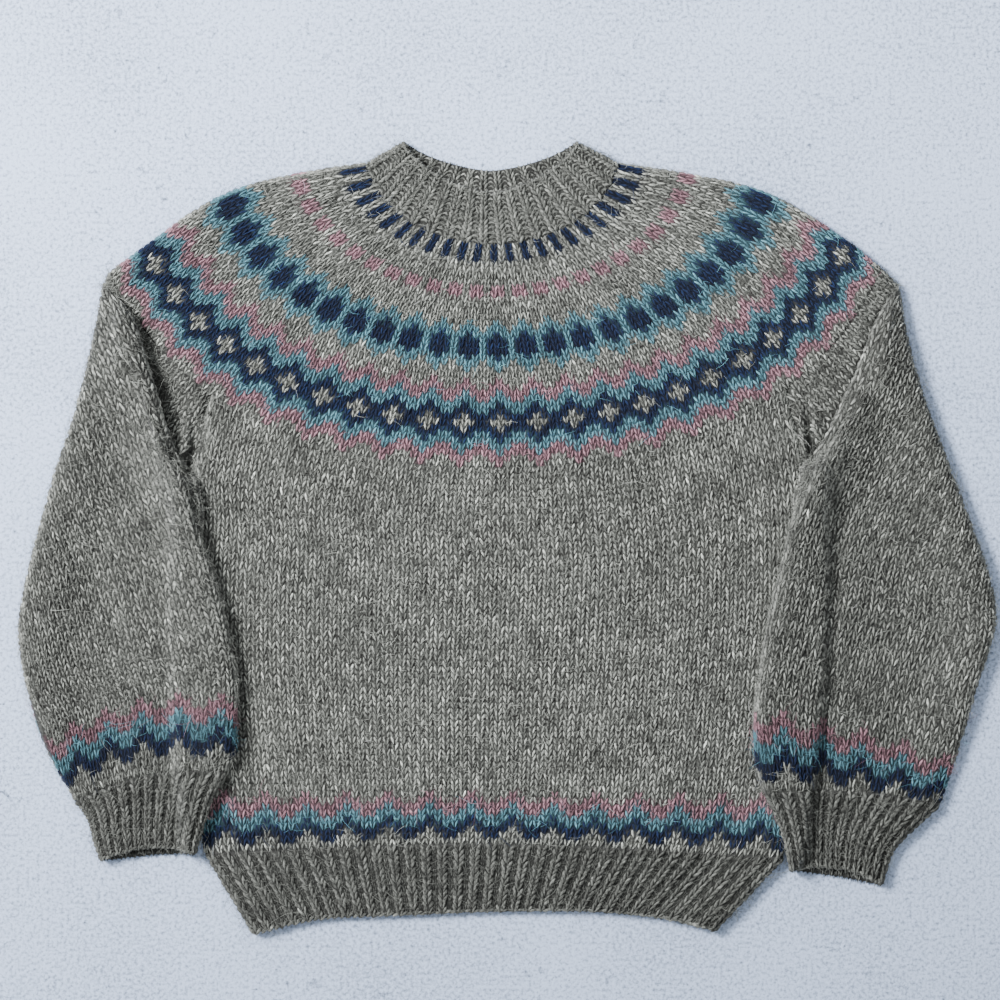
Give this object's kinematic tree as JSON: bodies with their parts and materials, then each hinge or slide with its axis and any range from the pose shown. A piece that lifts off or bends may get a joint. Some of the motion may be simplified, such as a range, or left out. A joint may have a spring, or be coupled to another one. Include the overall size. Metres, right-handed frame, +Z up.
{
  "type": "yoke sweater",
  "caption": "Heather grey wool pullover laid flat, with a round patterned yoke, ribbed mock neck, cuffs and hem, and puffed sleeves folded down over its sides.",
  "frame": {"origin": "middle of the bounding box in plan, on the surface that the sweater lies on", "axes": "+X across the sweater, from its wearer's right to left; +Y from hem to neck; +Z up from the surface, the front of the sweater facing up"},
  "size_m": [0.877, 0.71, 0.026],
  "materials": {
    "body_wool": "heathered wool, plain knit",
    "sleeve_wool": "heathered wool, plain knit",
    "rib_wool": "heathered wool, ribbed",
    "yoke_wool": "wool, stranded colour pattern"
  },
  "bodies": {
    "root": {"body": "body_wool", "hem_rib": "rib_wool", "yoke": "yoke_wool", "collar": "rib_wool", "sleeve_right": "sleeve_wool", "sleeve_left": "sleeve_wool", "cuff_right": "rib_wool", "cuff_left": "rib_wool"}
  },
  "joints": []
}
